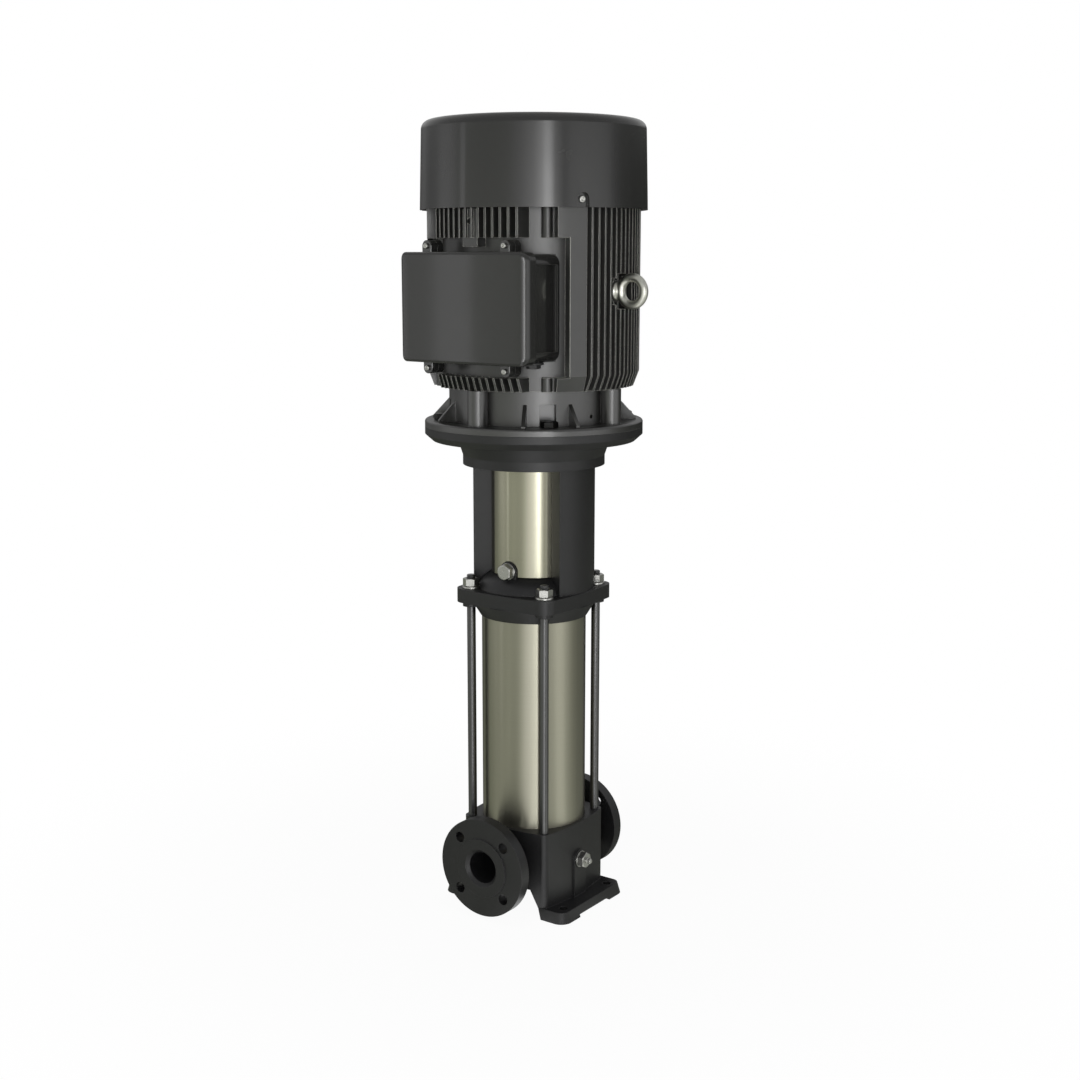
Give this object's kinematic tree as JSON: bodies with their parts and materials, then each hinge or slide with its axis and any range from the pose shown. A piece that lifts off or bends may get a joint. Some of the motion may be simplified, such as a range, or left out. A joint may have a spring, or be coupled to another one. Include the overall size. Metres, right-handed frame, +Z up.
{
  "type": "vertical multistage pump",
  "caption": "Vertical multistage in-line pump: flanged base, stainless sleeve with stay bolts, coupling under guards, finned flange motor with terminal box and fan cover.",
  "frame": {"origin": "on the pump's axis at the underside of the foot, the centre of the four foot bolt holes", "axes": "+Z up along the shaft, -Y out of the inlet flange, +Y out of the outlet flange, +X towards the drain plug and the eyebolt"},
  "size_m": [0.3973, 0.3769, 1.2917],
  "materials": {
    "pump_iron": "satin black-grey paint over cast iron",
    "motor_enamel": "dark grey semi-gloss enamel",
    "motor_cast": "dark grey enamel over cast iron",
    "stainless": "brushed stainless steel",
    "rod_steel": "plain steel rod",
    "zinc_steel": "bright zinc-plated steel",
    "bare_steel": "machined steel",
    "rubber": "black nitrile rubber",
    "plastic": "black moulded plastic",
    "ceramic": "dark sintered bush material",
    "copper": "varnished copper wire",
    "lamination": "stacked electrical sheet"
  },
  "bodies": {
    "frame": {"base_casting": "pump_iron", "bearing_outer_races": "bare_steel", "cable_plugs": "plastic", "chamber_1": "stainless", "chamber_2": "stainless", "chamber_3": "stainless", "chamber_4": "stainless", "chamber_5": "stainless", "chamber_6": "stainless", "chamber_7": "stainless", "coupling_guard_back": "stainless", "coupling_guard_front": "stainless", "discharge_chamber": "stainless", "drive_end_shield": "motor_cast", "eyebolt": "zinc_steel", "fan_cover": "motor_enamel", "fan_cover_screws": "zinc_steel", "fan_end_shield": "motor_cast", "inlet_chamber": "stainless", "lid_screws": "zinc_steel", "motor_flange_bolts": "zinc_steel", "motor_stool": "pump_iron", "outer_sleeve": "stainless", "pump_head": "pump_iron", "seal_housing": "stainless", "shaft_bushes": "ceramic", "sleeve_o_rings": "rubber", "stack_straps": "stainless", "stator_core": "lamination", "stator_housing": "motor_enamel", "stator_windings": "copper", "stay_bolts": "rod_steel", "stay_nuts": "zinc_steel", "stay_washers": "zinc_steel", "terminal_block": "plastic", "terminal_box_base": "motor_enamel", "terminal_box_gasket": "rubber", "terminal_box_lid": "motor_enamel"},
    "rotor": {"bearing_inner_races": "bare_steel", "cooling_fan": "plastic", "coupling_half_back": "bare_steel", "coupling_half_front": "bare_steel", "coupling_pin": "zinc_steel", "coupling_screws": "zinc_steel", "impeller_1": "stainless", "impeller_2": "stainless", "impeller_3": "stainless", "impeller_4": "stainless", "impeller_5": "stainless", "impeller_6": "stainless", "impeller_7": "stainless", "impeller_spacers": "stainless", "motor_shaft": "bare_steel", "pump_shaft": "stainless", "rotor_core": "lamination", "seal_rotor": "ceramic"},
    "priming_plug": {"priming_plug": "zinc_steel"},
    "drain_plug": {"drain_plug": "zinc_steel"}
  },
  "joints": [
    {"name": "rotor_spin", "type": "hinge", "parent": "frame", "child": "rotor", "pos_m": [0, 0, 0.6], "axis": [0, 0, 1], "continuous": true},
    {"name": "priming_plug_out", "type": "slide", "parent": "frame", "child": "priming_plug", "axis": [0, -1, 0], "range_m": [0, 0.02]},
    {"name": "drain_plug_out", "type": "slide", "parent": "frame", "child": "drain_plug", "axis": [1, 0, 0], "range_m": [0, 0.02]}
  ]
}
